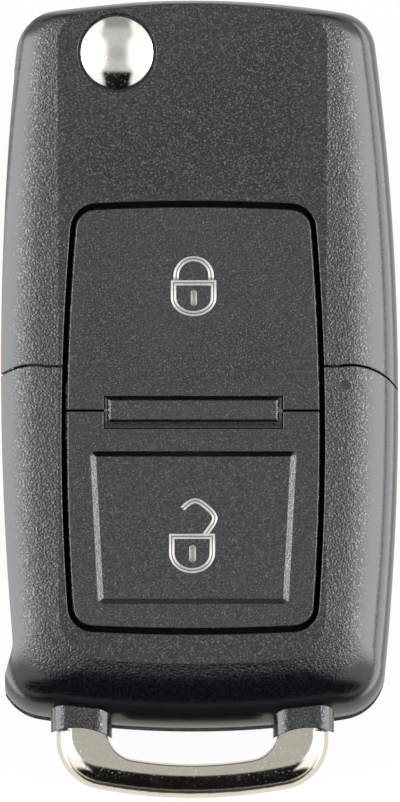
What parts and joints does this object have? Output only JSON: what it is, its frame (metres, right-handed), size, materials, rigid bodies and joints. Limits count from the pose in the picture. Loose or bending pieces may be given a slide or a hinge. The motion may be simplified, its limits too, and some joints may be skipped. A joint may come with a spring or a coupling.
{
  "type": "folding key remote",
  "caption": "Folding key remote: a two-part moulded case with a flip-out blade, chrome release button, lock and unlock keys and a chrome key ring loop.",
  "frame": {"origin": "on the flat back face, on the case's centreline, just below the seam between the two sections", "axes": "+Y from the key ring loop towards the blade pivot, +Z out of the key face, +X to the right of the key face"},
  "size_m": [0.038, 0.0765, 0.017],
  "materials": {
    "case_plastic": "fine moulded grain",
    "key_plastic": "fine moulded grain",
    "silicone": "smooth",
    "chrome_plate": "polished",
    "blade_steel": "ground and nickel plated",
    "hub_metal": "zinc casting, tumbled",
    "spring_steel": "drawn wire",
    "screw_steel": "black zinc",
    "board_laminate": "green solder mask",
    "component_plastic": "moulded epoxy",
    "component_metal": "tinned can",
    "switch_plastic": "moulded",
    "cell_steel": "nickel plated",
    "contact_metal": "plated strip",
    "transponder_ceramic": "potted block"
  },
  "bodies": {
    "case": {"head_front": "case_plastic", "head_rear": "case_plastic", "head_screw": "screw_steel", "transponder": "transponder_ceramic", "remote_front": "case_plastic", "remote_rear": "case_plastic", "key_bridge": "key_plastic", "key_gasket": "silicone", "circuit_board": "board_laminate", "lock_switch": "switch_plastic", "unlock_switch": "switch_plastic", "control_chip": "component_plastic", "resonator": "component_metal", "antenna_coil": "component_metal", "board_parts": "component_plastic", "coin_cell": "cell_steel", "positive_contact": "contact_metal", "negative_contact": "contact_metal", "key_ring_loop": "chrome_plate"},
    "blade": {"blade": "blade_steel", "blade_hub": "hub_metal", "blade_pin": "spring_steel", "flip_spring": "spring_steel"},
    "release_button": {"release_button": "chrome_plate"},
    "lock_key": {"lock_key": "key_plastic"},
    "unlock_key": {"unlock_key": "key_plastic"},
    "lock_plunger": {"lock_plunger": "component_plastic"},
    "unlock_plunger": {"unlock_plunger": "component_plastic"}
  },
  "joints": [
    {"name": "blade_flip", "type": "hinge", "parent": "case", "child": "blade", "pos_m": [-0.0072, 0.0331, 0.0072], "axis": [0, 0, -1], "range_deg": [0, 180]},
    {"name": "release_push", "type": "slide", "parent": "blade", "child": "release_button", "axis": [0, 0, -1], "range_m": [0, 0.0016], "stiffness_N_per_m": 800, "springref_m": -0.004, "deforming": ["flip_spring"]},
    {"name": "lock_press", "type": "slide", "parent": "case", "child": "lock_key", "axis": [0, 0, -1], "range_m": [0, 0.00045], "stiffness_N_per_m": 1500, "springref_m": -0.0008},
    {"name": "unlock_press", "type": "slide", "parent": "case", "child": "unlock_key", "axis": [0, 0, -1], "range_m": [0, 0.00045], "stiffness_N_per_m": 1500, "springref_m": -0.0008},
    {"name": "lock_plunger_travel", "type": "slide", "parent": "case", "child": "lock_plunger", "axis": [0, 0, -1], "range_m": [0, 0.00025]},
    {"name": "unlock_plunger_travel", "type": "slide", "parent": "case", "child": "unlock_plunger", "axis": [0, 0, -1], "range_m": [0, 0.00025]}
  ],
  "couplings": [
    {"joint": "lock_plunger_travel", "follows": "lock_press", "ratio": 0.55556},
    {"joint": "unlock_plunger_travel", "follows": "unlock_press", "ratio": 0.55556}
  ]
}
